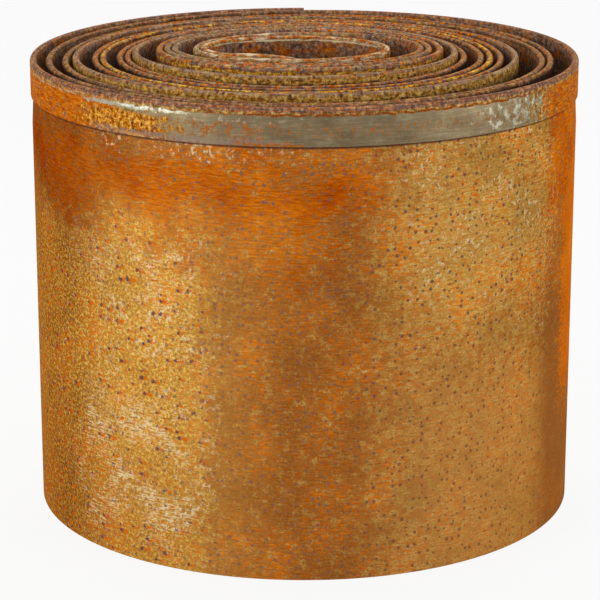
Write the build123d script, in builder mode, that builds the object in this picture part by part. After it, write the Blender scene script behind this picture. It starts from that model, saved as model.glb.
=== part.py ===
"""A coil of rusted steel garden edging, stood on its plain edge.

The coil is one strip of sheet steel with a hem folded over along its top edge, wound
into a loose spiral. Its section is turned arc by arc, and the centre moves from arc to
arc, so that neighbouring arcs meet in line while the gaps between the turns stay uneven.

Millimetres, +Z up, origin on the floor under the middle of the outer turn, front at -Y.
"""

from build123d import *
from math import copysign, radians
import os

# The strip, before it is coiled
strip_height = 150
sheet_thickness = 0.7
hem_height = 12
hem_thickness = 1.5

# The coil
coil_radius = 90
loose_gap = 4.0

# Clear gaps from each turn to the next one in, along the left and the right of the coil,
# as shares of the usual gap. A quarter of it is left where two turns lie together.
left_gap_shares = [1.0, 1.0, 0.45, 1.15, 0.25, 1.0, 0.25, 0.25, 1.575, 0.25, 0.25, 1.4, 0.25]
right_gap_shares = [1.75, 0.35, 1.75, 0.8, 0.45, 0.4, 1.0, 0.35, 0.8, 0.55, 0.3, 2.4]

# How far back each turn sits behind the middle of the coil, as shares of the usual gap:
# the outer turns are pressed together at the front, and the inner ones at the back
setback_shares = [0.0, -0.95, -1.35, -1.1, -0.8, -0.55, -0.55, -0.4, 0.15, 0.55, 0.6, 0.55, 0.15, 0.4]

# The inner end of the strip: it follows the last turn, springs in, and bends back to meet it.
# Radii are shares of the last arc's radius, and one below zero bends the other way.
# Angles are in degrees.
tail_radius_shares = [0.96, 0.3, -0.8]
tail_angles = [46, 42, 40]

up = Vector(0, 0, 1)
left, right, back = Vector(-1, 0), Vector(1, 0), Vector(0, 1)


def reaches(gap_shares):
    """How far each turn reaches from the middle of the coil, from the outside in."""
    found = [coil_radius]
    for share in gap_shares:
        found.append(found[-1] - hem_thickness - share * loose_gap)
    return found


def spiral_arcs():
    """Start and end direction, centre and outer radius of each arc, from the outside in."""
    left_reach = reaches(left_gap_shares)
    right_reach = reaches(right_gap_shares)
    setback = [share * loose_gap for share in setback_shares]
    arcs = [(back, left, Vector(0, setback[0]), coil_radius)]
    for turn, reach in enumerate(right_reach):
        # The front half of the turn is one arc from its left to its right
        radius = (left_reach[turn] + reach) / 2
        arcs.append((left, right, Vector(reach - radius, setback[turn]), radius))
        # The back half leads to the left of the next turn in, and shifts to its setback
        mean = (reach + left_reach[turn + 1]) / 2
        shift = setback[turn + 1] - setback[turn]
        radius = mean + shift / 2
        middle = reach - radius
        arcs.append((right, back, Vector(middle, setback[turn]), radius))
        arcs.append((back, left, Vector(middle, setback[turn + 1]), radius - shift))
    return arcs + tail_arcs(Vector(-left_reach[-1], setback[-1]), radius)


def tail_arcs(joint, last_radius):
    """The arcs of the inner end, from the joint at the left of the last turn."""
    arcs = []
    start = left
    for share, angle in zip(tail_radius_shares, tail_angles):
        radius = share * last_radius
        centre = joint - start * radius
        end = start.rotate(Axis.Z, copysign(angle, radius))
        arcs.append((start, end, centre, radius))
        joint = centre + end * radius
        start = end
    return arcs


def strip_section(start, centre, radius):
    """The strip's section at the start of an arc, with its hem folded outwards."""
    inner_face = radius - hem_thickness
    wall_face = inner_face + sheet_thickness
    hem_foot = strip_height - hem_height
    with BuildSketch(Plane(centre, x_dir=start, z_dir=start.cross(up))) as section:
        with BuildLine():
            Polyline(
                (inner_face, 0),
                (wall_face, 0),
                (wall_face, hem_foot),
                (radius, hem_foot),
                (radius, strip_height),
                (inner_face, strip_height),
                close=True,
            )
        make_face()
    return section.sketch


arcs = spiral_arcs()
angles = [copysign(start.get_angle(end), radius) for start, end, centre, radius in arcs]

with BuildPart() as coil:
    pieces = []
    for (start, end, centre, radius), angle in zip(arcs, angles):
        section = strip_section(start, centre, radius)
        turned = revolve(section, Axis(centre, up), angle, mode=Mode.PRIVATE)
        pieces.append(turned)
    add(pieces)

coil.part.label = "edging_coil"
os.makedirs("parts", exist_ok=True)
export_step(coil.part, "parts/edging_coil.step")

middle_of_sheet = hem_thickness - sheet_thickness / 2
lengths = [(arc[-1] - middle_of_sheet) * radians(angle) for arc, angle in zip(arcs, angles)]
print("strip length", round(sum(lengths)), "volume", round(coil.part.volume))
print("solids", len(coil.part.solids()), "valid", coil.part.is_valid)
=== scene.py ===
# %% [markdown]
# A coil of rusted steel garden edging
#
# The real object is one long strip of thin sheet steel. Its top edge is folded over outwards
# into a hem, so that nobody is cut by it, and the strip is then rolled up and stood on its plain
# edge. This lesson makes it in the same order as the factory does: a flat strip, a folded hem, the
# thickness of the sheet, and then the rolling up. The finish of mill rust comes last.

# %% Load the frame and take the coil's size from it
import bpy
from bisect import bisect_right
from math import cos, pi, radians, sin, tan
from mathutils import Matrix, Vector


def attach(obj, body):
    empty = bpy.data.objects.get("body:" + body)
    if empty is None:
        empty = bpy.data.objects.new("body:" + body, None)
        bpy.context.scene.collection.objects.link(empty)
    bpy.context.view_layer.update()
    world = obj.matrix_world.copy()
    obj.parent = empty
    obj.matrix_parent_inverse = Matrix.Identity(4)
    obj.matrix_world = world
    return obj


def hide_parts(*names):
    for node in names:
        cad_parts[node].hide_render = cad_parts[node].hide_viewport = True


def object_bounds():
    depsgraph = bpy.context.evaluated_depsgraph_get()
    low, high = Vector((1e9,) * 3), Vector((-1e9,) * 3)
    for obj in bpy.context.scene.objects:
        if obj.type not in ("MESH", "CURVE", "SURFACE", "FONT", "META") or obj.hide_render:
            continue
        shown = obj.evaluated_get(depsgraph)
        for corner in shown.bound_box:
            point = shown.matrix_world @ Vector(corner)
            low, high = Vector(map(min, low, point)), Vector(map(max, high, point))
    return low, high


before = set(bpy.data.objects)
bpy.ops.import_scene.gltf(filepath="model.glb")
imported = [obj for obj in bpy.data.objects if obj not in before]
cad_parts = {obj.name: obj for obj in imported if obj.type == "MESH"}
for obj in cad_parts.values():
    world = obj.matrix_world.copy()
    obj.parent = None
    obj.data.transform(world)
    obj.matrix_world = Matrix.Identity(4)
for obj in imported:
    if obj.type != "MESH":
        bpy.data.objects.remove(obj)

cad_low, cad_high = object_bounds()
mm = 0.001
strip_height = cad_high.z - cad_low.z
coil_radius = (cad_high.x - cad_low.x) / 2
print("strip", round(strip_height / mm), "mm high, coil", round(2 * coil_radius / mm), "mm across")

# %% [markdown]
# The path of the rolled strip
#
# Seen from above, the strip is a loose spiral whose gaps are uneven. A spiral formula would give
# even gaps, so the path is drawn arc by arc instead: a quarter turn at a time, each about its own
# centre, and each starting where the last one ended and in the same direction. The gaps at the left
# and at the right of the coil are given as shares of the usual gap.

# %% List the quarter turns from the outside in
sheet = 0.7 * mm
hem_thickness = 1.5 * mm
loose_gap = 4.0 * mm
left_gap_shares = [1.0, 1.0, 0.45, 1.15, 0.25, 1.0, 0.25, 0.25, 1.575, 0.25, 0.25, 1.4, 0.25]
right_gap_shares = [1.75, 0.35, 1.75, 0.8, 0.45, 0.4, 1.0, 0.35, 0.8, 0.55, 0.3, 2.4]
setback_shares = [0.0, -0.95, -1.35, -1.1, -0.8, -0.55, -0.55, -0.4, 0.15, 0.55, 0.6, 0.55, 0.15, 0.4]
tail_bends = [(46, 0.96), (42, 0.3), (-40, -0.8)]
quarter, half, full_turn = 90, 180, 360


def reaches(gap_shares):
    """How far each turn reaches from the middle of the coil, from the outside in."""
    found = [coil_radius]
    for share in gap_shares:
        found.append(found[-1] - hem_thickness - share * loose_gap)
    return found


def heading(degrees):
    """The direction from an arc's centre, measured from the right towards the back."""
    return Vector((cos(radians(degrees)), sin(radians(degrees)), 0))


def spiral_arcs():
    """Angle swept, centre and outer radius of each arc, starting at the back of the coil."""
    left, right = reaches(left_gap_shares), reaches(right_gap_shares)
    setback = [share * loose_gap for share in setback_shares]
    arcs = [(quarter, Vector((0, 0, 0)), coil_radius)]
    for turn, reach in enumerate(right):
        radius = (left[turn] + reach) / 2
        centre = Vector((reach - radius, setback[turn], 0))
        arcs += [(quarter, centre, radius), (quarter, centre, radius)]
        shift = setback[turn + 1] - setback[turn]
        radius = (reach + left[turn + 1] + shift) / 2
        arcs.append((quarter, Vector((reach - radius, setback[turn], 0)), radius))
        arcs.append((quarter, Vector((reach - radius, setback[turn + 1], 0)), radius - shift))
    return arcs + tail_arcs(Vector((-left[-1], setback[-1], 0)), radius)


def tail_arcs(joint, last_radius):
    """The free inner end of the strip, which springs in from the last turn and bends back to it.
    An arc whose angle and radius are below zero bends the other way."""
    arcs = []
    angle = half
    for sweep, share in tail_bends:
        radius = share * last_radius
        centre = joint - radius * heading(angle)
        arcs.append((sweep, centre, radius))
        angle += sweep
        joint = centre + radius * heading(angle)
    return arcs


arcs = spiral_arcs()
turns_wound = sum(sweep for sweep, centre, radius in arcs) / full_turn
print(len(arcs), "arcs,", round(turns_wound, 2), "turns")

# %% [markdown]
# A Bezier curve holds the path, because a Curve modifier can bend a mesh along it. A quarter circle
# is drawn almost exactly by two points whose handles are four thirds of the tangent of a quarter of
# the angle long. The path runs along the middle of the sheet, so that its length is the strip's.

# %% Draw the path as a Bezier curve
bpy.ops.object.select_all(action="DESELECT")
middle_of_sheet = hem_thickness - sheet / 2
samples_per_arc = 48


def handle_length(sweep, radius):
    """How long the handles are at both ends of an arc."""
    return 4 / 3 * tan(radians(sweep) / 4) * radius


bpy.ops.curve.primitive_bezier_curve_add(location=(0, 0, 0))
path = bpy.context.object
path.name = "strip_path"
path.data.twist_mode = "Z_UP"
path.data.resolution_u = samples_per_arc
points = path.data.splines[0].bezier_points
points.add(len(arcs) + 1 - len(points))
for point in points:
    point.handle_left_type = point.handle_right_type = "FREE"
angle = quarter
for number, (sweep, centre, radius) in enumerate(arcs):
    start, end = points[number], points[number + 1]
    path_radius = radius - middle_of_sheet
    handle = handle_length(sweep, path_radius)
    start.co = centre + path_radius * heading(angle)
    start.handle_right = start.co + handle * heading(angle + quarter)
    angle += sweep
    end.co = centre + path_radius * heading(angle)
    end.handle_left = end.co - handle * heading(angle + quarter)
points[0].handle_left = points[0].co
points[-1].handle_right = points[-1].co
strip_length = path.data.splines[0].calc_length()
print("strip", round(strip_length, 3), "m long")

# %% [markdown]
# The flat strip
#
# The strip starts as a grid, stood upright along the X axis, with its outer face towards -Y. It has
# many columns, which will bend into the turns, and a few rows. The hem is then made as a folding
# machine makes it, along the top edge.

# %% Make the plain wall as a grid
columns = 1900
wall_rows = 6
hem_height = 12 * mm
bead_thickness = 2.2 * mm
hem_foot = strip_height - hem_height
fold_radius = (bead_thickness - sheet) / 2
fold_centre_z = strip_height - bead_thickness / 2
lip_y = sheet / 2 - middle_of_sheet
fold_centre_y = lip_y + fold_radius
lean = fold_centre_y + fold_radius

bpy.ops.object.select_all(action="DESELECT")
bpy.ops.mesh.primitive_grid_add(x_subdivisions=columns, y_subdivisions=wall_rows, size=1)
strip = bpy.context.object
strip.name = strip.data.name = "edging_strip"
strip.rotation_euler = (radians(quarter), 0, 0)
strip.scale = (strip_length, hem_foot, 1)
strip.location = (strip_length / 2, 0, hem_foot / 2)
bpy.ops.object.transform_apply(location=True, rotation=True, scale=True)
print("flat wall", [round(size / mm, 1) for size in strip.dimensions], "mm")

# %% [markdown]
# The hem is stiff and the sheet below it isn't, so the real wall stands out a little from under the
# hem. All the points below the hem's foot are moved outwards together, and the row next to the foot
# is moved up, so that the swell is short.

# %% Let the wall swell a little below the hem
swell = 0.5 * mm
swell_height = 9 * mm
swell_start = hem_foot - swell_height
top_row = hem_foot * (wall_rows - 1) / wall_rows
tolerance = 0.001 * mm
bpy.ops.object.mode_set(mode="EDIT")


def select_points(wanted):
    """Select the points of the strip whose place is wanted."""
    bpy.ops.mesh.select_mode(type="VERT")
    bpy.ops.mesh.select_all(action="DESELECT")
    bpy.ops.object.mode_set(mode="OBJECT")
    for vertex in strip.data.vertices:
        vertex.select = wanted(vertex.co)
    bpy.ops.object.mode_set(mode="EDIT")


select_points(lambda place: place.z < hem_foot - tolerance)
bpy.ops.transform.translate(value=(0, -swell, 0))
select_points(lambda place: abs(place.z - top_row) < tolerance)
bpy.ops.transform.translate(value=(0, 0, swell_start - top_row))
bpy.ops.object.mode_set(mode="OBJECT")
print("wall stands out by", swell / mm, "mm below", round(swell_start / mm), "mm")

# %% [markdown]
# The fold could be a bevelled block laid over the edge, but a folded sheet has a round bead and a fine
# gap under its lip. So the top edge is extruded up, where it leans in a little, spun half a turn about
# a line along the strip, and extruded down again as the lip.

# %% Fold the hem over along the top edge
lean_steps, fold_steps, lip_steps = 2, 8, 2
bpy.ops.object.mode_set(mode="EDIT")
select_points(lambda place: abs(place.z - hem_foot) < tolerance)
bpy.ops.mesh.select_mode(type="EDGE")
rise = (fold_centre_z - hem_foot) / lean_steps
for step in range(lean_steps):
    bpy.ops.mesh.extrude_region_move(TRANSFORM_OT_translate={"value": (0, lean / lean_steps, rise)})
fold_centre = (0, fold_centre_y, fold_centre_z)
bpy.ops.mesh.spin(steps=fold_steps, angle=pi, center=fold_centre, axis=(-1, 0, 0))
drop = (fold_centre_z - hem_foot) / lip_steps
for step in range(lip_steps):
    bpy.ops.mesh.extrude_region_move(TRANSFORM_OT_translate={"value": (0, 0, -drop)})
bpy.ops.mesh.select_all(action="SELECT")
bpy.ops.mesh.remove_doubles(threshold=tolerance)
bpy.ops.object.mode_set(mode="OBJECT")
print("folded strip", [round(size / mm, 2) for size in strip.dimensions], "mm,",
      len(strip.data.polygons), "faces")

# %% [markdown]
# The flat blank as a UV map
#
# Rust follows the sheet, so the finishes are laid out on the blank as it was before it was folded.
# The UV map holds metres: u along the strip from its outer end, and v across it, up the wall, over
# the fold and down the lip. A spot is then as large and as round on the fold as on the wall.

# %% Lay out the blank
lean_length = Vector((lean, fold_centre_z - hem_foot)).length
fold_start = hem_foot + lean_length
fold_end = fold_start + pi * fold_radius
lip_end = fold_end + fold_centre_z - hem_foot


def across_blank(place):
    """Distance across the sheet from its plain edge to this place on the folded strip."""
    if place.z > fold_centre_z + tolerance:
        from_centre = Vector((place.y - fold_centre_y, place.z - fold_centre_z))
        turned = from_centre.angle_signed(Vector((1, 0)))
        return fold_start + abs(turned) * fold_radius
    if place.y < lip_y + tolerance and place.z > hem_foot - tolerance:
        return fold_end + fold_centre_z - place.z
    if place.z > hem_foot:
        return hem_foot + lean_length * (place.z - hem_foot) / (fold_centre_z - hem_foot)
    return place.z


while strip.data.uv_layers:
    strip.data.uv_layers.remove(strip.data.uv_layers[0])
blank_map = strip.data.uv_layers.new(name="blank")
for corner in strip.data.loops:
    place = strip.data.vertices[corner.vertex_index].co
    blank_map.data[corner.index].uv = (place.x, across_blank(place))
print("blank", round(strip_length, 3), "by", round(lip_end / mm, 1), "mm")

# %% [markdown]
# Finishes and thickness
#
# The sheet has three finishes: the rusted outside of the wall, the darker inside, and the hem, where
# bare steel shows. Solidify gives the sheet its thickness, half to each side, and its material
# offset gives the inner side the next finish in the list. The side of the sheet that faces inwards
# on the wall goes over the fold and faces outwards on the lip, so the hem's finish comes last.

# %% Thicken the sheet and round its edges off
cut_edge_bevel = 0.12 * mm
sharp_angle = 60
wall_finish = bpy.data.materials.new("rusted_wall")
inside_finish = bpy.data.materials.new("rusted_inside")
hem_finish = bpy.data.materials.new("rubbed_hem")
for finish in (wall_finish, inside_finish, hem_finish):
    strip.data.materials.append(finish)

bpy.ops.object.mode_set(mode="EDIT")
bpy.ops.mesh.select_all(action="SELECT")
bpy.ops.mesh.normals_make_consistent(inside=False)
bpy.ops.object.mode_set(mode="OBJECT")
if strip.data.polygons[0].normal.y > 0:
    strip.data.flip_normals()
for face in strip.data.polygons:
    on_lip = face.center.y < lip_y + tolerance
    face.material_index = 1 if on_lip or face.center.z > fold_centre_z else 0


def finish_with(kind, name, **settings):
    """Add a modifier to the strip, set it up and apply it."""
    modifier = strip.modifiers.new(name, kind)
    for setting, value in settings.items():
        setattr(modifier, setting, value)
    bpy.ops.object.modifier_apply(modifier=name)


finish_with("SOLIDIFY", "sheet", thickness=sheet, offset=0, use_even_offset=True, material_offset=1)
finish_with("BEVEL", "cut edges", width=cut_edge_bevel, segments=1, limit_method="ANGLE",
            angle_limit=radians(sharp_angle))
print("sheet", len(strip.data.polygons), "faces, finishes used",
      sorted({face.material_index for face in strip.data.polygons}))

# %% [markdown]
# Rolling up
#
# A loose coil doesn't stand quite level: the fronts of some turns have crept up by a few
# millimetres. The strip is stepped up by that much while it is still flat, where a turn's front is
# at a known length, so that its upright lines stay upright. Then the Curve modifier rolls it up.

# %% Lift the fronts of the turns and wind the strip
smooth_angle = 30
front_lifts = [0, 0, 0, 1.5, 0, 0, 0, 0, 2.25, 3.3, 3.4, 3.5, 3.6, 3.7]
arc_starts = [0.0]
for sweep, centre, radius in arcs:
    arc_starts.append(arc_starts[-1] + radians(sweep) * (radius - middle_of_sheet))
arc_angles = [quarter]
for sweep, centre, radius in arcs:
    arc_angles.append(arc_angles[-1] + sweep)


def lift_at(length):
    """How far the strip is lifted at this length: all the way at a turn's front, not at its back."""
    number = min(bisect_right(arc_starts, max(length, 0)), len(arcs)) - 1
    share = (length - arc_starts[number]) / (arc_starts[number + 1] - arc_starts[number])
    angle = arc_angles[number] + share * arcs[number][0]
    turn = int((angle - quarter) // full_turn)
    return front_lifts[turn] * mm * (1 - sin(radians(angle))) / 2


for vertex in strip.data.vertices:
    vertex.co.z += lift_at(vertex.co.x)
finish_with("CURVE", "wind", object=path, deform_axis="POS_X")
bpy.data.objects.remove(path)
bpy.ops.object.shade_smooth_by_angle(angle=radians(smooth_angle))
strip.data.calc_loop_triangles()
print("coil", [round(size / mm, 1) for size in strip.dimensions], "mm,",
      len(strip.data.loop_triangles), "triangles")

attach(strip, "root")
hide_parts("edging_coil")

# %% [markdown]
# Tools for the finishes
#
# All three finishes are layers of colour, each let through by a mask. The masks come from a few
# patterns that every finish uses: a soft band, for where a zone begins and ends, mottling, streaks
# and spots. Each pattern is a node group, built once. Sizes are in metres on the blank.

# %% Write the small helpers for node trees


def add(tree, kind, inputs=(), **settings):
    """Add a shader node, set it up, and fill its inputs with values or with other nodes' outputs."""
    node = tree.nodes.new("ShaderNode" + kind)
    for name, value in settings.items():
        setattr(node, name, value)
    for key, value in dict(inputs).items():
        if isinstance(value, bpy.types.NodeSocket):
            tree.links.new(value, node.inputs[key])
        else:
            node.inputs[key].default_value = value
    return node


def calc(tree, operation, first, second=0.0):
    """One step of arithmetic."""
    return add(tree, "Math", {0: first, 1: second}, operation=operation).outputs[0]


def product(tree, *factors):
    """Several masks multiplied together."""
    result = factors[0]
    for factor in factors[1:]:
        result = calc(tree, "MULTIPLY", result, factor)
    return result


def largest(tree, *masks):
    """Several masks laid over one another."""
    result = masks[0]
    for mask in masks[1:]:
        result = calc(tree, "MAXIMUM", result, mask)
    return result


def colour_of(colour):
    """A colour with its alpha, as sockets want it."""
    return colour if isinstance(colour, bpy.types.NodeSocket) else (*colour, 1)


def layer(tree, under, over, mask):
    """One colour over another, where the mask lets it through. A Mix node has sockets for each kind of
    data, and those for colours are its inputs 6 and 7 and its output 2."""
    node = tree.nodes.new("ShaderNodeMix")
    node.data_type = "RGBA"
    for number, value in ((0, mask), (6, colour_of(under)), (7, colour_of(over))):
        if isinstance(value, bpy.types.NodeSocket):
            tree.links.new(value, node.inputs[number])
        else:
            node.inputs[number].default_value = value
    return node.outputs[2]


def tinted(tree, under, tint, mask):
    """A colour darkened by a tint where the mask is, with its grain kept."""
    mix = layer(tree, under, tint, mask)
    mix.node.blend_type = "MULTIPLY"
    return mix


def shades(tree, value, dark, middle, light):
    """Three shades of a colour, from a value between 0 and 1."""
    ramp = add(tree, "ValToRGB", {"Fac": value})
    ramp.color_ramp.elements.new(0.5)
    for stop, colour in zip(ramp.color_ramp.elements, (dark, middle, light)):
        stop.color = (*colour, 1)
    return ramp.outputs["Color"]


def new_group(name, inputs, outputs):
    """A node group with a vector or value for each input, and a value for each output."""
    tree = bpy.data.node_groups.new(name, "ShaderNodeTree")
    for socket in inputs:
        kind = "NodeSocketVector" if socket == "Vector" else "NodeSocketFloat"
        tree.interface.new_socket(socket, in_out="INPUT", socket_type=kind)
    for socket in outputs:
        tree.interface.new_socket(socket, in_out="OUTPUT", socket_type="NodeSocketFloat")
    return tree, tree.nodes.new("NodeGroupInput").outputs, tree.nodes.new("NodeGroupOutput").inputs


def use_all(tree, group, **inputs):
    """Place a pattern in a finish, with its own values, and return its outputs."""
    return add(tree, "Group", inputs, node_tree=group).outputs


def use(tree, group, **inputs):
    """Place a pattern in a finish, with its own values, and return its only output."""
    return use_all(tree, group, **inputs)[0]


print("helpers ready")

# %% [markdown]
# The patterns
#
# Mottling and streaks start from Blender's noise, and pits from its Voronoi cells, one to a cell. They
# are given sizes in place of scales, because sizes can be measured on the object. The last pattern lets
# a zone through grain by grain, so that it doesn't end in a smooth fade, as paint does.

# %% Build the patterns as node groups


def centred(tree, value, contrast):
    """A value moved about its middle, with more or less contrast, and kept between 0 and 1."""
    spread = calc(tree, "MULTIPLY", calc(tree, "SUBTRACT", value, 0.5), contrast)
    return add(tree, "Math", {0: spread, 1: 0.5}, operation="ADD", use_clamp=True).outputs[0]


def ragged(tree, vector, size, reach):
    """Coordinates shaken by fine noise, so that what is drawn on them has ragged edges."""
    scale = calc(tree, "DIVIDE", 1.0, size)
    noise = add(tree, "TexNoise", {"Vector": vector, "Scale": scale, "Detail": 3.0},
                noise_dimensions="2D")
    shake = add(tree, "VectorMath", {0: noise.outputs["Color"], 1: (0.5, 0.5, 0.5)},
                operation="SUBTRACT")
    shake = add(tree, "VectorMath", {0: shake.outputs[0], "Scale": reach}, operation="SCALE")
    return add(tree, "VectorMath", {0: vector, 1: shake.outputs[0]}, operation="ADD").outputs[0]


def soft_band():
    """1 between Low and High, falling to 0 over Soft on either side of them."""
    tree, given, out = new_group("Soft band", ("Value", "Low", "High", "Soft"), ("Mask",))
    rise = calc(tree, "DIVIDE", calc(tree, "SUBTRACT", given["Value"], given["Low"]), given["Soft"])
    fall = calc(tree, "DIVIDE", calc(tree, "SUBTRACT", given["High"], given["Value"]), given["Soft"])
    nearer = calc(tree, "MINIMUM", rise, fall)
    ramp = add(tree, "MapRange", {"Value": nearer, "From Min": -1.0, "From Max": 1.0},
               interpolation_type="SMOOTHSTEP")
    tree.links.new(ramp.outputs[0], out["Mask"])
    return tree


def mottling():
    """Uneven patches of about Size. Grit is how much fine detail they have."""
    tree, given, out = new_group("Mottling", ("Vector", "Size", "Grit", "Contrast"), ("Value",))
    scale = calc(tree, "DIVIDE", 1.0, given["Size"])
    noise = add(tree, "TexNoise", {"Vector": given["Vector"], "Scale": scale, "Detail": 6.0,
                                   "Roughness": given["Grit"]}, noise_dimensions="2D")
    tree.links.new(centred(tree, noise.outputs["Fac"], given["Contrast"]), out["Value"])
    return tree


def streaking():
    """Streaks of about Length along the strip and Height across it, a little crooked."""
    tree, given, out = new_group("Streaking", ("Vector", "Length", "Height", "Contrast"), ("Value",))
    narrower = calc(tree, "MINIMUM", given["Length"], given["Height"])
    crooked = ragged(tree, given["Vector"], given["Length"], narrower)
    size = add(tree, "CombineXYZ", {"X": given["Length"], "Y": given["Height"], "Z": 1.0})
    scaled = add(tree, "VectorMath", {0: crooked, 1: size.outputs[0]}, operation="DIVIDE")
    noise = add(tree, "TexNoise", {"Vector": scaled.outputs[0], "Scale": 1.0, "Detail": 5.0,
                                   "Roughness": 0.7}, noise_dimensions="2D")
    tree.links.new(centred(tree, noise.outputs["Fac"], given["Contrast"]), out["Value"])
    return tree


def pitting():
    """Ragged pits about Spacing apart, and the rust that has run from each along the strip. Cover is
    the share of the pits that is there, and Radius is a share of the spacing."""
    smallest_pit = 0.4
    edge_outside, edge_inside = 1.15, 0.6
    run_offset, run_squeeze = (-2.0, 0, 0), (0.3, 1.1, 1)
    tree, given, out = new_group("Pitting", ("Vector", "Spacing", "Cover", "Radius"), ("Pits", "Runs"))
    shake_size = calc(tree, "MULTIPLY", given["Spacing"], 0.25)
    shake_reach = product(tree, given["Spacing"], given["Radius"], 1.8)
    place = ragged(tree, given["Vector"], shake_size, shake_reach)
    scale = calc(tree, "DIVIDE", 1.0, given["Spacing"])
    cells = add(tree, "TexVoronoi", {"Vector": place, "Scale": scale}, voronoi_dimensions="2D")
    chance = add(tree, "SeparateColor", {"Color": cells.outputs["Color"]})
    there = calc(tree, "LESS_THAN", chance.outputs["Red"], given["Cover"])
    pit_size = calc(tree, "ADD", chance.outputs["Green"], smallest_pit)
    radius = calc(tree, "MULTIPLY", given["Radius"], pit_size)
    from_pit = add(tree, "VectorMath", {0: place, 1: cells.outputs["Position"]}, operation="SUBTRACT")
    per_radius = calc(tree, "DIVIDE", scale, radius)
    in_radii = add(tree, "VectorMath", {0: from_pit.outputs[0], "Scale": per_radius},
                   operation="SCALE").outputs[0]
    beside = add(tree, "VectorMath", {0: in_radii, 1: run_offset}, operation="ADD")
    stretched = add(tree, "VectorMath", {0: beside.outputs[0], 1: run_squeeze}, operation="MULTIPLY")
    for name, vector in (("Pits", in_radii), ("Runs", stretched.outputs[0])):
        distance = add(tree, "VectorMath", {0: vector}, operation="LENGTH").outputs["Value"]
        dot = add(tree, "MapRange", {"Value": distance, "From Min": edge_outside, "From Max": edge_inside},
                  interpolation_type="SMOOTHSTEP")
        tree.links.new(product(tree, dot.outputs[0], there), out[name])
    return tree


def dissolving():
    """Grains of one rust among another: the higher the Zone, the more of the Grain lets it through."""
    tree, given, out = new_group("Dissolving", ("Zone", "Grain"), ("Mask",))
    zone_weight, grain_weight = 3.5, 2.5
    zone = calc(tree, "MULTIPLY", given["Zone"], zone_weight)
    both = calc(tree, "ADD", zone, calc(tree, "MULTIPLY", given["Grain"], grain_weight))
    over = add(tree, "Math", {0: both, 1: grain_weight}, operation="SUBTRACT", use_clamp=True)
    tree.links.new(over.outputs[0], out["Mask"])
    return tree


band, mottle, streaks, pits, dissolve = soft_band(), mottling(), streaking(), pitting(), dissolving()
print("patterns", [group.name for group in bpy.data.node_groups])

# %% [markdown]
# The palette
#
# Mill rust isn't one brown. Fresh rust is a strong orange, older rust an ochre gold with olive in it,
# and pits are a dark purple brown. Where the coil rubbed, cream and grey steel show. Some colours are
# painted highlights and painted shade. The colours are linear, as shader sockets take them, and each
# rust has a dark, a middle and a light shade.

# %% Name the colours
orange_shades = ((0.30, 0.038, 0.001), (0.53, 0.118, 0.002), (0.78, 0.25, 0.010))
gold_shades = ((0.19, 0.056, 0.004), (0.52, 0.258, 0.032), (0.90, 0.66, 0.18))
olive_gold = ((0.21, 0.090, 0.013), (0.45, 0.250, 0.056), (0.78, 0.54, 0.17))
stripe_shades = ((0.50, 0.105, 0.002), (0.64, 0.160, 0.004), (0.74, 0.23, 0.010))
brown_shades = ((0.22, 0.064, 0.008), (0.38, 0.137, 0.024), (0.54, 0.240, 0.058))
mauve_shades = ((0.060, 0.028, 0.022), (0.24, 0.132, 0.082), (0.52, 0.36, 0.25))
olive_shades = ((0.070, 0.032, 0.012), (0.37, 0.220, 0.055), (0.80, 0.57, 0.20))
steel_shades = ((0.11, 0.082, 0.042), (0.19, 0.150, 0.082), (0.33, 0.275, 0.165))
yellow_shades = ((0.36, 0.11, 0.004), (0.80, 0.39, 0.012), (0.95, 0.66, 0.12))
amber_shades = ((0.22, 0.055, 0.003), (0.58, 0.245, 0.020), (0.86, 0.56, 0.12))
rust_gold = ((0.20, 0.040, 0.002), (0.54, 0.180, 0.010), (0.84, 0.46, 0.07))
rusts = (orange_shades, gold_shades, olive_gold, stripe_shades, brown_shades, mauve_shades, olive_shades,
         steel_shades, yellow_shades, amber_shades, rust_gold)

# Tints darken what is under them, and the other colours cover it
# A tint of painted shade for the middle and the left edge of the wall; it also darkens the lower left
shade_tint = (0.50, 0.28, 0.165)
# Painted shade at the right edge of the wall, where it turns away from the light
painted_edge_shade = (0.51, 0.43, 0.50)
burnt_tint = (0.50, 0.42, 0.35)
# Dark pits, and also painted shade: under the hem, low between the turns and deep inside
pit_and_shade_colour = (0.055, 0.022, 0.022)
# Painted shade in the gaps between the hems' beads
painted_gap_shade = (0.030, 0.017, 0.021)
brown_pit = (0.115, 0.052, 0.040)
plum_colour = (0.19, 0.110, 0.095)
# Cream flakes and scrapes on the wall, and a painted highlight round the eye
cream_and_highlight_colour = (0.78, 0.65, 0.40)
# Painted highlight: a reflection on the bare steel of the fold
painted_white_highlight = (0.74, 0.73, 0.58)
# Painted highlight on the round wall, at its left and at its right
painted_highlight_gold = (0.86, 0.50, 0.10)
tan_colour = (0.53, 0.246, 0.062)
# Painted highlight on the crowns of the hems
painted_crown_highlight = (0.50, 0.325, 0.165)
slate_colour = (0.085, 0.068, 0.080)
rust_line = (0.26, 0.055, 0.006)
tick_colour = (0.42, 0.12, 0.012)
foot_colour = (0.26, 0.18, 0.15)
bright_orange = (0.62, 0.13, 0.003)
# Painted highlight on the bare steel of the fold
painted_steel_highlight = (0.42, 0.40, 0.29)
print(len(rusts), "rusts and metals in three shades")

# %% [markdown]
# Marking out the blank
#
# Every finish reads its place on the blank from the UV map. Two patterns of one kind would fall on the
# same spots, so each reads the blank from somewhere else. A zone is marked out between two lengths and
# two widths, and its coordinates are made to wander, because a straight edge would look like tape.

# %% Start a finish and mark out its zones


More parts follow.
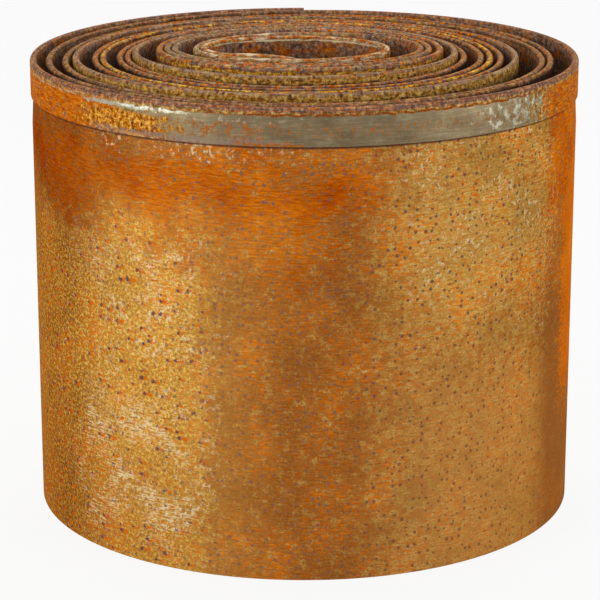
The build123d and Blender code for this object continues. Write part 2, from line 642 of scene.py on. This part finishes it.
def start_finish(finish):
    """Clear a finish and give it its shader and the blank's coordinates."""
    finish.use_nodes = True
    tree = finish.node_tree
    tree.nodes.clear()
    shader = add(tree, "BsdfPrincipled")
    add(tree, "OutputMaterial", {"Surface": shader.outputs[0]})
    blank = add(tree, "UVMap", uv_map="blank").outputs["UV"]
    place = add(tree, "SeparateXYZ", {"Vector": blank})
    return tree, shader, blank, place.outputs["X"], place.outputs["Y"]


def moved(tree, vector, along, across):
    """The blank's coordinates moved, so that two patterns of one kind don't fall together."""
    return add(tree, "VectorMath", {0: vector, 1: (along, across, 0)}, operation="ADD").outputs[0]


def wandering(tree, value, vector, size, reach):
    """A coordinate that wanders by up to about half of reach, so that a zone's edge is uneven."""
    noise = use(tree, mottle, Vector=vector, Size=size, Grit=0.65, Contrast=1.5)
    drift = calc(tree, "SUBTRACT", noise, 0.5)
    return calc(tree, "ADD", value, calc(tree, "MULTIPLY", drift, reach))


def mottled(tree, blank, size, contrast, grit=0.7, away=(0, 0)):
    """Mottling of this size in millimetres, with the blank moved away by so many metres."""
    vector = moved(tree, blank, *away)
    return use(tree, mottle, Vector=vector, Size=size * mm, Grit=grit, Contrast=contrast)


def streaked(tree, blank, length, height, contrast, away=(0, 0)):
    """Streaks of this length and height in millimetres, with the blank moved away."""
    vector = moved(tree, blank, *away)
    return use(tree, streaks, Vector=vector, Length=length * mm, Height=height * mm, Contrast=contrast)


def pitted(tree, blank, spacing, cover, radius, away=(0, 0)):
    """Pits this many millimetres apart and their runs, with the blank moved away."""
    vector = moved(tree, blank, *away)
    return use_all(tree, pits, Vector=vector, Spacing=spacing * mm, Cover=cover, Radius=radius)


def grains(tree, zone, grain):
    """A zone that is dissolved into grains."""
    return use(tree, dissolve, Zone=zone, Grain=grain)


def share(tree, mask, amount):
    """A weaker mask."""
    return calc(tree, "MULTIPLY", mask, amount)


def rest_of(tree, mask):
    """Where the mask isn't."""
    return calc(tree, "SUBTRACT", 1.0, mask)


def blend(tree, first, second, amount):
    """Two patterns as one, with this share of the second."""
    return calc(tree, "ADD", share(tree, first, 1 - amount), share(tree, second, amount))


def zone_maker(tree, along, across):
    """A function for zones: between two lengths and two widths of the blank, in millimetres."""
    def zone(low, high, soft, bottom=-500, top=500, soft_across=10):
        wide = use(tree, band, Value=along, Low=low * mm, High=high * mm, Soft=soft * mm)
        tall = use(tree, band, Value=across, Low=bottom * mm, High=top * mm, Soft=soft_across * mm)
        return product(tree, wide, tall)
    return zone


def dress(tree, shader, colour, polish, rough, smooth):
    """Give the shader its colour, and a roughness that goes from rough to smooth with the polish."""
    tree.links.new(colour, shader.inputs["Base Color"])
    roughness = add(tree, "MapRange", {"Value": polish, "To Min": rough, "To Max": smooth})
    tree.links.new(roughness.outputs[0], shader.inputs["Roughness"])


def relief(tree, shader, height, depth):
    """Bump from a height between 0 and 1, of this depth in metres."""
    bump = add(tree, "Bump", {"Height": height, "Strength": 1.0, "Distance": depth})
    tree.links.new(bump.outputs["Normal"], shader.inputs["Normal"])


print("tools for the blank ready")

# %% [markdown]
# The outside of the wall
#
# Only the outer turn's wall shows from outside. Its rust lies in zones: gold with dark pits to the left,
# brown in the middle, gold with fine pits to the right, a smooth orange stripe past that, and orange
# under the hem. A zone is a box on the blank, in millimetres from the front of the outer turn, and its
# soft edges wander. Rust grows in grains, so one rust is dissolved into the next by grains. Over the
# rusts, highlights are painted at the left and the right, and shade in the middle and at both edges.

# %% Place the zones of the wall
outer_front = pi * (coil_radius - middle_of_sheet)
past_the_end = 5400


def wall_zones(zone):
    """Where each kind of rust lies on the outer turn, and where its painted highlights and painted shade
    lie.
    """
    return {
        "left": zone(-190, -28, 14, top=112, soft_across=22),
        "left edge": zone(-175, -70, 28),
        "bright": zone(-74, -20, 18, top=112, soft_across=20),
        "right bright": zone(28, 74, 18, bottom=76, top=124, soft_across=16),
        "middle": zone(-14, 24, 22),
        "right": zone(16, 96, 18),
        "upper right": zone(26, 97, 14, bottom=78, soft_across=24),
        "lower right": zone(28, 135, 22, top=66, soft_across=24),
        "lower left": zone(-120, -30, 20, top=36, soft_across=20),
        "right edge": zone(90, 150, 8, top=80, soft_across=30),
        "back": zone(170, 262, 25, top=108, soft_across=20),
        "orange top": zone(-300, 24, 18, bottom=113, top=133, soft_across=16),
        "burnt corner": zone(-160, -62, 14, bottom=106, soft_across=14),
        "orange run": zone(-66, 10, 18, bottom=94, top=133, soft_across=22),
        "far orange top": zone(150, past_the_end, 25, bottom=112, soft_across=14),
        "stripe": zone(105, 129, 8, bottom=42, top=126, soft_across=22),
        "above stripe": zone(92, 130, 5, bottom=104, soft_across=5),
    }


# How much of each rust grows in its zones
gold_shares = {"left": 0.78, "right": 0.55, "upper right": 0.72, "back": 0.65}
gold_everywhere = 0.28
orange_shares = {"orange top": 0.95, "orange run": 0.6, "far orange top": 1.0, "above stripe": 0.65}
stripe_share = 0.8

# What is laid over the rusts or darkens them, from the first coat to the last, with painted highlights and
# painted shade among them
wall_shading = [
    # Painted shade at the left edge, where the round wall turns away from the light
    (tinted, "left edge", shade_tint, 0.38),
    (tinted, "burnt corner", burnt_tint, 0.45),
    # Painted highlights, at the left and at the right of the wall
    (layer, "bright", painted_highlight_gold, 0.22),
    (layer, "right bright", painted_highlight_gold, 0.16),
    # Painted shade in the middle of the wall
    (tinted, "middle", shade_tint, 0.16),
    (layer, "lower right", tan_colour, 0.5),
    # Darker at the lower left
    (tinted, "lower left", shade_tint, 0.26),
    # Painted shade at the right edge
    (tinted, "right edge", painted_edge_shade, 0.7),
]
print("front of the wall at", round(outer_front / mm), "mm,", len(wall_shading), "coats of shading")

# %% Lay the rusts of the wall


def strongest(tree, places, shares, *others):
    """Several zones, each with its share, laid over one another and over other masks."""
    return largest(tree, *[share(tree, places[name], shares[name]) for name in shares], *others)


def gold_rust(tree, blank, places, mixed, cloud):
    """Gold, in coarse crumbs at the left, and calmer and more olive elsewhere."""
    crumbs = mottled(tree, blank, 1.0, 4.4, grit=0.75, away=(0.4, 1.1))
    gold = shades(tree, blend(tree, crumbs, cloud, 0.25), *gold_shades)
    calm_gold = shades(tree, blend(tree, mixed, cloud, 0.3), *olive_gold)
    return layer(tree, gold, calm_gold, rest_of(tree, places["left"]))


def wall_rusts(tree, places, blank):
    """Brown, gold and orange, dissolved into one another by zones, under coats among which are painted
    highlights and painted shade. Gives the colour and its grain.
    """
    grain = mottled(tree, blank, 0.8, 3.2)
    fibre = streaked(tree, blank, 4.0, 0.6, 2.6)
    cloud = mottled(tree, blank, 20, 2.6, grit=0.55, away=(2.1, 0))
    hue = mottled(tree, blank, 3.5, 3.8, grit=0.8, away=(0, 0.7))
    drawn = streaked(tree, blank, 2.6, 1.0, 3.6, away=(0, 1.9))
    mixed = blend(tree, grain, fibre, 0.5)
    colour = shades(tree, blend(tree, mixed, cloud, 0.3), *brown_shades)
    gold = gold_rust(tree, blank, places, mixed, cloud)
    gold_zone = strongest(tree, places, gold_shares, gold_everywhere)
    colour = layer(tree, colour, gold, grains(tree, gold_zone, hue))
    orange = shades(tree, blend(tree, fibre, cloud, 0.45), *orange_shades)
    scattered = blend(tree, cloud, 0.16, 0.6)
    among_gold = product(tree, places["left"], cloud, 0.55)
    orange_zone = strongest(tree, places, orange_shares, scattered, among_gold)
    colour = layer(tree, colour, orange, grains(tree, orange_zone, drawn))
    for coat, name, over, amount in wall_shading:
        colour = coat(tree, colour, over, share(tree, places[name], amount))
    stripe = shades(tree, blend(tree, fibre, cloud, 0.5), *stripe_shades)
    stripe_zone = share(tree, places["stripe"], stripe_share)
    return layer(tree, colour, stripe, grains(tree, stripe_zone, drawn)), mixed


def wall_pits(tree, zone, places, blank, colour):
    """Pits, the rust that has run from them, and plum specks. Gives the colour and the deep pits."""
    deep = pitted(tree, blank, 4.4, 0.6, 0.14)
    fine = pitted(tree, blank, 2.3, 0.55, 0.20, away=(0.6, 0))
    plums = pitted(tree, blank, 3.0, 0.45, 0.17, away=(0.7, 0.2))
    colour = layer(tree, colour, bright_orange, product(tree, deep["Runs"], places["left"], 0.9))
    calm = rest_of(tree, share(tree, places["lower right"], 0.8))
    smooth = rest_of(tree, strongest(tree, places, {"stripe": 1.0, "orange top": 0.6}))
    colour = layer(tree, colour, plum_colour, product(tree, fine["Pits"], calm, smooth, 0.7))
    plum_zone = largest(tree, zone(-46, 22, 8, bottom=115, soft_across=6),
                        share(tree, zone(-130, -46, 8, bottom=120, soft_across=6), 0.6))
    colour = layer(tree, colour, plum_colour, product(tree, plums["Pits"], plum_zone, 0.9))
    left_pits = product(tree, deep["Pits"], places["left"], 0.9)
    colour = layer(tree, colour, slate_colour, left_pits)
    right_pits = product(tree, fine["Pits"], places["right"], 0.6)
    colour = layer(tree, colour, brown_pit, right_pits)
    return colour, largest(tree, left_pits, right_pits)


def wall_scrapes(tree, zone, places, blank, colour):
    """Cream flakes, and cream scrapes along the strip, both in patches."""
    flake = mottled(tree, blank, 1.8, 4.5, away=(0.31, 0))
    patch = mottled(tree, blank, 14, 5.0, grit=0.6, away=(3.4, 0.1))
    scrape = streaked(tree, blank, 5, 0.6, 4.5, away=(0, 0.9))
    flake_zone = largest(tree, zone(-72, -26, 10, bottom=6, top=108),
                         share(tree, places["upper right"], 0.7),
                         zone(-78, 4, 8, bottom=133, soft_across=1.5))
    flaked = grains(tree, product(tree, flake_zone, patch, 0.26), flake)
    scrape_zone = largest(tree, zone(-84, -36, 8, bottom=8, top=52),
                          share(tree, zone(-90, -30, 10, bottom=84, top=104), 0.6))
    scraped = grains(tree, product(tree, scrape_zone, patch, 0.32), scrape)
    return layer(tree, colour, cream_and_highlight_colour, share(tree, largest(tree, flaked, scraped), 0.85))


def wall_painted_shade(tree, u, v, colour):
    """Painted shadow in the seam under the hem, and painted shade low down between the turns."""
    seam = use(tree, band, Value=v, Low=hem_foot - 0.7 * mm, High=strip_height, Soft=0.35 * mm)
    further_in = use(tree, band, Value=u, Low=2 * outer_front, High=strip_length, Soft=10 * mm)
    depth = use(tree, band, Value=v, Low=-strip_height, High=hem_foot - 15 * mm, Soft=20 * mm)
    painted_shade_mask = largest(tree, share(tree, seam, 0.8), product(tree, further_in, depth, 0.6))
    return layer(tree, colour, pit_and_shade_colour, painted_shade_mask)


def finish_wall():
    """Lay the wall's rusts, its marks and its painted shade. The marks' zones wander less far than those
    of the rusts.
    """
    tree, shader, blank, u, v = start_finish(wall_finish)
    along = wandering(tree, calc(tree, "SUBTRACT", u, outer_front), blank, 9 * mm, 9 * mm)
    up = wandering(tree, v, moved(tree, blank, 1.3, 0.4), 28 * mm, 34 * mm)
    places = wall_zones(zone_maker(tree, along, up))
    colour, grain = wall_rusts(tree, places, blank)
    close_up = wandering(tree, v, blank, 4 * mm, 5 * mm)
    zone = zone_maker(tree, along, close_up)
    colour, dark = wall_pits(tree, zone, places, blank, colour)
    colour = wall_scrapes(tree, zone, places, blank, colour)
    colour = wall_painted_shade(tree, u, v, colour)
    dress(tree, shader, colour, grain, rough=0.60, smooth=0.46)
    shader.inputs["Metallic"].default_value = 0.5
    shader.inputs["Specular IOR Level"].default_value = 0.0
    shader.inputs["Specular Tint"].default_value = (0.8, 0.4, 0.12, 1.0)
    relief(tree, shader, calc(tree, "SUBTRACT", grain, dark), 0.15 * mm)


finish_wall()
print("wall", len(wall_finish.node_tree.nodes), "nodes")

# %% [markdown]
# The hems that kept their rust
#
# Away from the front of the outer turn, the hems kept their rust, and the turns differ. Some are packed
# level with their neighbours and are orange and slate, two stand up as fat golden beads, and those
# round the eye have pale painted highlights. Painted shade darkens the gaps between the beads. One
# finish serves them all, because the length along the strip tells which turn a place is on.

# %% Tell the turns of the hem apart
arcs_in_turn = 4
outer_turns, packed_turns, inner_turns = (0, 2), (4, 7), (9, 11)
fat_turns = (3, 8)
raised_turns = (3, 8, 9, 12)
last_turn = 13
orange_back_turns = (2, 4)
orange_back_reach = 90 * mm
crown_line = (-2.1, -0.3, 0.6)


def turn_finder(tree, u):
    """A function for the turns, counted from the outside in. A turn begins and ends at the back."""
    def turns(first, last):
        end = min(arcs_in_turn * (last + 1), len(arcs))
        low, high = arc_starts[arcs_in_turn * first], arc_starts[end]
        return use(tree, band, Value=u, Low=low, High=high, Soft=20 * mm)
    return turns


def face_finder(tree, down):
    """A function for bands along the hem, in millimetres down its face from the end of the fold. The
    crown is where they are below zero."""
    def face(low, high, soft):
        return use(tree, band, Value=down, Low=low * mm, High=high * mm, Soft=soft * mm)
    return face


def front_of(tree, u, turn):
    """The front half of a turn, fading out towards its left and its right."""
    begin = arcs_in_turn * turn
    left, middle, right = arc_starts[begin + 1], arc_starts[begin + 2], arc_starts[begin + 3]
    return use(tree, band, Value=u, Low=(left + middle) / 2, High=(middle + right) / 2,
               Soft=(right - left) / 8)


def back_of(tree, u, turn):
    """The strip to both sides of the place at the back where a turn begins."""
    begin = arc_starts[arcs_in_turn * turn]
    return use(tree, band, Value=u, Low=begin - orange_back_reach, High=begin + orange_back_reach,
               Soft=30 * mm)


print("packed turns", packed_turns, "fat turns", fat_turns, "of", last_turn)

# %% Lay the rusts of the hem


def hem_skin(tree, turns, face, fat, grain, hue, lines):
    """Olive gold, under a mauve mill skin that is whole along the crowns, with a painted highlight on the
    crowns' tops.
    """
    mauve_zone = largest(tree, share(tree, face(-2.4, 0.1, 0.8), 0.6),
                         product(tree, fat, face(-2.4, -0.4, 0.4), 0.85),
                         product(tree, turns(0, 0), face(-2.4, 0.5, 0.4), 0.9),
                         share(tree, turns(*packed_turns), 0.6),
                         share(tree, turns(*inner_turns), 0.62), 0.12)
    skin = shades(tree, blend(tree, grain, lines, 0.5), *mauve_shades)
    colour = shades(tree, blend(tree, grain, hue, 0.35), *olive_shades)
    colour = layer(tree, colour, skin, grains(tree, mauve_zone, hue))
    # A painted highlight along the crowns of the inner turns
    crown_highlight = product(tree, turns(3, last_turn), face(-1.7, 0.2, 0.4), 0.5, lines)
    return layer(tree, colour, painted_crown_highlight, crown_highlight)


def hem_orange(tree, blank, u, turns, fat, grain, lines, colour):
    """Orange here and there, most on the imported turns, and in lines along the outer crowns."""
    orange = shades(tree, grain, *orange_shades)
    cloud = mottled(tree, blank, 90, 4.0, grit=0.5, away=(5.0, 0))
    runs = streaked(tree, blank, 2.6, 0.9, 4.0, away=(0.4, 0.1))
    calm = rest_of(tree, share(tree, largest(tree, fat, turns(*outer_turns)), 0.55))
    backs = largest(tree, *[back_of(tree, u, turn) for turn in orange_back_turns])
    orange_zone = largest(tree, product(tree, calm, blend(tree, cloud, 0.14, 0.6)),
                          share(tree, turns(*packed_turns), 0.46), share(tree, backs, 0.48))
    colour = layer(tree, colour, orange, grains(tree, orange_zone, runs))
    lined = grains(tree, share(tree, turns(*outer_turns), 0.38), lines)
    return layer(tree, colour, orange, share(tree, lined, 0.6))


def hem_accents(tree, blank, turns, face, fat, grain, hue, colour):
    """A yellow edge below two turns, pale painted highlights round the eye and on one crown, and gold
    below the fat crowns.
    """
    drawn = streaked(tree, blank, 7, 1.1, 3.6, away=(0.9, 0.1))
    yellow_zone = largest(tree, product(tree, turns(5, 5), face(-1.8, 1.5, 0.4), 0.5),
                          product(tree, turns(9, 9), face(0.3, 1.6, 0.3), 0.66))
    colour = layer(tree, colour, shades(tree, grain, *yellow_shades), grains(tree, yellow_zone, drawn))
    # Pale painted highlights round the eye, and a few on the crown of turn nine
    pale_zone = largest(tree, product(tree, turns(12, last_turn), face(-2.4, 0.8, 0.5), 0.32),
                        product(tree, turns(9, 9), face(*crown_line), 0.16))
    colour = layer(tree, colour, cream_and_highlight_colour, grains(tree, pale_zone, drawn))
    golden = grains(tree, product(tree, fat, face(-0.3, 1.9, 0.4), 0.62), hue)
    return layer(tree, colour, shades(tree, grain, *amber_shades), share(tree, golden, 0.6))


def hem_specks_and_painted_shade(tree, blank, u, turns, face, fat, colour):
    """Slate flecks, dark specks, and painted shade between the beads: on all but the crown where the turns
    are packed level, low on every inner face, and further down where a turn stands above the one outside
    it."""
    flecks = mottled(tree, blank, 1.6, 4.0, away=(1.1, 0.2))
    slate_zone = largest(tree, share(tree, turns(*packed_turns), 0.3),
                         share(tree, turns(*inner_turns), 0.28), share(tree, turns(*outer_turns), 0.2))
    colour = layer(tree, colour, slate_colour, grains(tree, slate_zone, flecks))
    specks = pitted(tree, blank, 2.2, 0.5, 0.19, away=(0.5, 0.3))
    colour = layer(tree, colour, pit_and_shade_colour, product(tree, specks["Pits"], blend(tree, fat, 0.5, 0.4)))
    # Painted shade between and below the beads
    level = largest(tree, turns(1, 2), turns(*packed_turns))
    between = product(tree, level, rest_of(tree, face(*crown_line)), 0.92)
    below_face = product(tree, turns(1, last_turn), face(3.2, 20, 1.6), 0.9)
    raised = largest(tree, *[front_of(tree, u, turn) for turn in raised_turns])
    below_bead = product(tree, raised, face(1.7, 20, 0.5), 0.95)
    return layer(tree, colour, painted_gap_shade, largest(tree, between, below_face, below_bead))


def rusted_hem(tree, blank, u, down):
    """The skin of the hems that kept their rust, with its painted highlights and painted shade, and its
    grain.
    """
    turns, face = turn_finder(tree, u), face_finder(tree, down)
    fat = largest(tree, *[turns(turn, turn) for turn in fat_turns])
    grain = mottled(tree, blank, 1.4, 4.2)
    hue = mottled(tree, blank, 4, 3.6, grit=0.8, away=(2.1, 0.3))
    lines = streaked(tree, blank, 9, 0.4, 3.2, away=(0, 0.6))
    colour = hem_skin(tree, turns, face, fat, grain, hue, lines)
    colour = hem_orange(tree, blank, u, turns, fat, grain, lines, colour)
    colour = hem_accents(tree, blank, turns, face, fat, grain, hue, colour)
    return hem_specks_and_painted_shade(tree, blank, u, turns, face, fat, colour), grain


print("rusts of the hem ready")

# %% [markdown]
# The worn front of the hem
#
# The hem is the part that rubs and that hands hold, so around the front of the outer turn its rust is
# worn off and brushed grey steel shows, with a rust line left along the fold. The steel could be a
# finish of its own, but worn rust has ragged edges, so it is one more layer, with its own shine.

# %% Finish the hem


def orange_ends(tree, zone, blank, fine, colour):
    """Both ends of the front are orange with plum specks, like the wall below them."""
    fibre = streaked(tree, blank, 4, 0.8, 2.6)
    ends = largest(tree, zone(-320, -60, 12, bottom=1.0, soft_across=0.5),
                   zone(87, 330, 8, bottom=1.0, soft_across=0.5))
    orange = grains(tree, share(tree, ends, 0.75), fine)
    colour = layer(tree, colour, shades(tree, fibre, *orange_shades), orange)
    plums = pitted(tree, blank, 3.4, 0.45, 0.2, away=(0.7, 0.2))
    return layer(tree, colour, plum_colour, product(tree, plums["Pits"], orange, 0.85))


def bare_steel(tree, zone, blank, fine, colour):
    """Brushed steel between the ends. Gives the colour, where it is bare, and the rust ticks on it."""
    bare = grains(tree, share(tree, zone(-54, 82, 20, bottom=1.5, soft_across=0.3), 0.95), fine)
    level = streaked(tree, blank, 9, 0.5, 2.4)
    cloudy = mottled(tree, blank, 8, 2.6, grit=0.8, away=(0.5, 0.5))
    colour = layer(tree, colour, shades(tree, blend(tree, level, cloudy, 0.5), *steel_shades), bare)
    haze = mottled(tree, blank, 12, 3.0, grit=0.75, away=(0.5, 0))
    colour = layer(tree, colour, mauve_shades[1], product(tree, bare, haze, 0.2))
    blotch = streaked(tree, blank, 1.1, 2.2, 4.0, away=(0.17, 0))
    tick_zone = share(tree, zone(-34, 82, 6, bottom=4.2, top=8.0, soft_across=0.8), 0.23)
    patch_zone = share(tree, zone(-50, -8, 8, bottom=3.4, soft_across=0.8), 0.34)
    rust = largest(tree, grains(tree, tick_zone, blotch), grains(tree, patch_zone, fine))
    ticks = product(tree, bare, rust)
    colour = layer(tree, colour, tick_colour, ticks)
    line_zone = share(tree, zone(-30, 90, 20, bottom=1.0, top=1.7, soft_across=0.2), 0.62)
    return layer(tree, colour, rust_line, grains(tree, line_zone, fine)), bare, ticks


def gold_end(tree, zone, blank, fine, grain, colour):
    """Gold rust with dark specks at the left end of the steel. Gives the colour and its place."""
    gold = grains(tree, share(tree, zone(-78, -40, 16, bottom=3.6, soft_across=1.4), 0.8), fine)
    colour = layer(tree, colour, shades(tree, grain, *rust_gold), gold)
    specks = pitted(tree, blank, 1.8, 0.5, 0.24, away=(0.3, 0))
    return layer(tree, colour, pit_and_shade_colour, product(tree, specks["Pits"], gold, 0.85)), gold


def painted_fold_highlight(tree, zone, fine, colour):
    """Painted highlights on the bare steel of the fold: pale, and white at the middle of the highlight."""
    pale_zone = largest(tree, share(tree, zone(-78, -36, 12, bottom=1.2, top=2.6, soft_across=0.5), 0.8),
                        share(tree, zone(-120, -70, 10, bottom=1.2, top=1.8, soft_across=0.3), 0.6),
                        share(tree, zone(-44, 8, 16, bottom=1.8, top=4.4, soft_across=1.2), 0.2),
                        share(tree, zone(56, 86, 10, bottom=1.8, top=10.5, soft_across=2.0), 0.4))
    colour = layer(tree, colour, painted_steel_highlight, grains(tree, pale_zone, fine))
    white_zone = largest(tree, share(tree, zone(-62, -44, 8, bottom=1.3, top=2.0, soft_across=0.35), 0.8),
                         share(tree, zone(70, 84, 6, bottom=1.6, top=5.0, soft_across=1.5), 0.14))
    return layer(tree, colour, painted_white_highlight, share(tree, grains(tree, white_zone, fine), 0.85))


def stained_foot(tree, zone, fine, colour):
    """A dull line along the hem's foot, and rust that has run there. Gives the colour and the run."""
    foot_line = zone(-72, -8, 4, bottom=8.9, top=10.8, soft_across=0.4)
    colour = layer(tree, colour, foot_colour, product(tree, foot_line, fine))
    run = grains(tree, share(tree, zone(-22, 0, 5, bottom=9.5, soft_across=0.8), 0.6), fine)
    return layer(tree, colour, tick_colour, run), run


def finish_hem():
    """Lay the hem's rusts and its worn front. Bare steel is metal, and smoother than rust."""
    tree, shader, blank, u, v = start_finish(hem_finish)
    along = wandering(tree, calc(tree, "SUBTRACT", u, outer_front), blank, 9 * mm, 12 * mm)
    down = wandering(tree, calc(tree, "SUBTRACT", v, fold_end), blank, 4 * mm, 1.4 * mm)
    zone = zone_maker(tree, along, down)
    colour, grain = rusted_hem(tree, blank, u, down)
    fine = mottled(tree, blank, 2.6, 3.4, grit=0.75, away=(0.8, 0.4))
    colour = orange_ends(tree, zone, blank, fine, colour)
    colour, bare, ticks = bare_steel(tree, zone, blank, fine, colour)
    colour, gold = gold_end(tree, zone, blank, fine, grain, colour)
    colour = painted_fold_highlight(tree, zone, fine, colour)
    colour, run = stained_foot(tree, zone, fine, colour)
    shine = product(tree, bare, rest_of(tree, largest(tree, gold, ticks, run)))
    dress(tree, shader, colour, shine, rough=0.44, smooth=0.40)
    tree.links.new(blend(tree, shine, 0.5, 0.5), shader.inputs["Metallic"])
    shader.inputs["Specular IOR Level"].default_value = 0.0
    shader.inputs["Specular Tint"].default_value = (0.95, 0.75, 0.5, 1.0)
    relief(tree, shader, product(tree, grain, rest_of(tree, shine)), 0.1 * mm)


finish_hem()
print("hem", len(hem_finish.node_tree.nodes), "nodes")

# %% [markdown]
# The inside of the wall
#
# The inner side shows only between the turns and down the eye. It was never rubbed or washed by rain,
# so it is a duller brown, with a mauve mill skin and some orange, and painted shade darkens it
# downwards. The rim of the eye has a painted cream highlight.

# %% Finish the inside
rim_arcs = 7


def finish_inside():
    """Lay the inside's rusts, the painted shade of its depth and the painted highlight on the rim of the
    eye.
    """
    tree, shader, blank, u, v = start_finish(inside_finish)
    grain = mottled(tree, blank, 1.8, 3.2, grit=0.75)
    hue = mottled(tree, blank, 12, 3.0, grit=0.75, away=(1.7, 0.6))
    colour = shades(tree, grain, *brown_shades)
    colour = layer(tree, colour, shades(tree, grain, *mauve_shades), grains(tree, 0.6, hue))
    runs = streaked(tree, blank, 12, 3, 3.0, away=(0.8, 0.3))
    colour = layer(tree, colour, shades(tree, grain, *orange_shades), grains(tree, 0.3, runs))
    specks = pitted(tree, blank, 4, 0.45, 0.18)
    colour = layer(tree, colour, pit_and_shade_colour, share(tree, specks["Pits"], 0.7))
    # Painted shade: the inside grows dark below the top, where little light gets down between the turns
    depth = use(tree, band, Value=v, Low=-strip_height, High=strip_height - 16 * mm, Soft=14 * mm)
    colour = layer(tree, colour, pit_and_shade_colour, share(tree, depth, 0.72))
    # A painted cream highlight on the rim of the eye
    eye = use(tree, band, Value=u, Low=arc_starts[len(arcs) - rim_arcs], High=strip_length, Soft=30 * mm)
    rim = use(tree, band, Value=v, Low=fold_start - 0.7 * mm, High=fold_end, Soft=0.3 * mm)
    highlight_streaks = streaked(tree, blank, 14, 2, 3.6, away=(0.2, 0.5))
    colour = layer(tree, colour, cream_and_highlight_colour, grains(tree, product(tree, eye, rim, 0.5), highlight_streaks))
    dress(tree, shader, colour, grain, rough=0.66, smooth=0.5)
    shader.inputs["Metallic"].default_value = 0.5
    shader.inputs["Specular IOR Level"].default_value = 0.1
    relief(tree, shader, grain, 0.1 * mm)


finish_inside()
print("inside", len(inside_finish.node_tree.nodes), "nodes")

# %% [markdown]
# The floor
#
# The coil stands on a plain white floor. More light would whiten the floor but bleach the coil, so the
# rays of the camera, and those that show the floor in metal or glass, find it nine tenths white by
# itself. The last tenth is lit and shows the coil's shadow. On the coil it throws a pale floor's light.

# %% Lay the floor


def seen_rays(tree):
    """1 for the rays that show a surface: to the camera, in metal and through glass."""
    ray = add(tree, "LightPath").outputs
    return largest(tree, ray["Is Camera Ray"], ray["Is Glossy Ray"], ray["Is Transmission Ray"])


bpy.ops.object.select_all(action="DESELECT")
floor_size = 12.0
floor_grey, plain_white = (0.85, 0.85, 0.85), (1, 1, 1)
glow_share = 0.9
bpy.ops.mesh.primitive_plane_add(size=floor_size, location=(0, 0, cad_low.z))
floor = bpy.context.object
floor.name = "floor"
floor_finish = bpy.data.materials.new("white_floor")
floor_finish.use_nodes = True
tree = floor_finish.node_tree
tree.nodes.clear()
lit = add(tree, "BsdfDiffuse", {"Color": colour_of(floor_grey)})
glow = add(tree, "Emission", {"Color": colour_of(plain_white), "Strength": 1.0})
glowing = share(tree, seen_rays(tree), glow_share)
surface = add(tree, "MixShader", {0: glowing, 1: lit.outputs[0], 2: glow.outputs[0]})
add(tree, "OutputMaterial", {"Surface": surface.outputs[0]})
floor.data.materials.append(floor_finish)
print("floor", floor_size, "m wide")

# %% [markdown]
# Studio light
#
# Two low softboxes stand at the left and the right, with a darker gap between them behind the
# camera, so that the round wall is bright on both sides and calmer in the middle. A third hangs above
# and lights the hems, and a fourth lights the back. The world gives a low even fill, and is white where
# the camera sees it, directly or in metal or glass.

# %% Light the coil
target = Vector((0, 0, strip_height / 2))


def softbox(name, azimuth, distance, height, width, tall, watts):
    """A softbox round the coil, aimed at its middle. Azimuth 0 is the camera's side, 90 the right."""
    where = Vector((sin(radians(azimuth)) * distance, -cos(radians(azimuth)) * distance, height))
    bpy.ops.object.light_add(type="AREA", location=where)
    lamp = bpy.context.object
    lamp.name = name
    lamp.data.shape = "RECTANGLE"
    lamp.data.size, lamp.data.size_y = width, tall
    lamp.data.energy = watts
    lamp.visible_camera = False
    lamp.rotation_mode = "QUATERNION"
    lamp.rotation_quaternion = (target - where).to_track_quat("-Z", "Y")
    return lamp


softbox("left_softbox", azimuth=-57, distance=1.0, height=0.36, width=0.7, tall=0.7, watts=5.4)
softbox("right_softbox", azimuth=68, distance=1.0, height=0.36, width=0.7, tall=0.7, watts=4.2)
softbox("top_softbox", azimuth=180, distance=0.3, height=1.1, width=0.6, tall=0.5, watts=4.2)
softbox("back_softbox", azimuth=170, distance=1.6, height=0.6, width=1.2, tall=0.8, watts=4.0)

world = bpy.data.worlds.new("studio")
bpy.context.scene.world = world
world.use_nodes = True
tree = world.node_tree
tree.nodes.clear()
fill_strength = 0.24
strength = add(tree, "MapRange", {"Value": seen_rays(tree), "To Min": fill_strength, "To Max": 1.0})
sky = add(tree, "Background", {"Color": colour_of(plain_white), "Strength": strength.outputs[0]})
add(tree, "OutputWorld", {"Surface": sky.outputs[0]})

# %% [markdown]
# The camera
#
# The camera looks down on the coil from the front, with a long lens and from far enough off that the
# coil's sides are nearly parallel.

# %% Set the camera and hand the coil over
camera_place = (-1.4 * mm, -0.814, 0.300)
camera_pitch = 16.1
bpy.ops.object.camera_add(location=camera_place, rotation=(radians(quarter - camera_pitch), 0, 0))
camera = bpy.context.object
camera.data.lens = 150
camera.data.sensor_width = 36
bpy.context.scene.camera = camera
bpy.context.scene.view_settings.view_transform = "Standard"
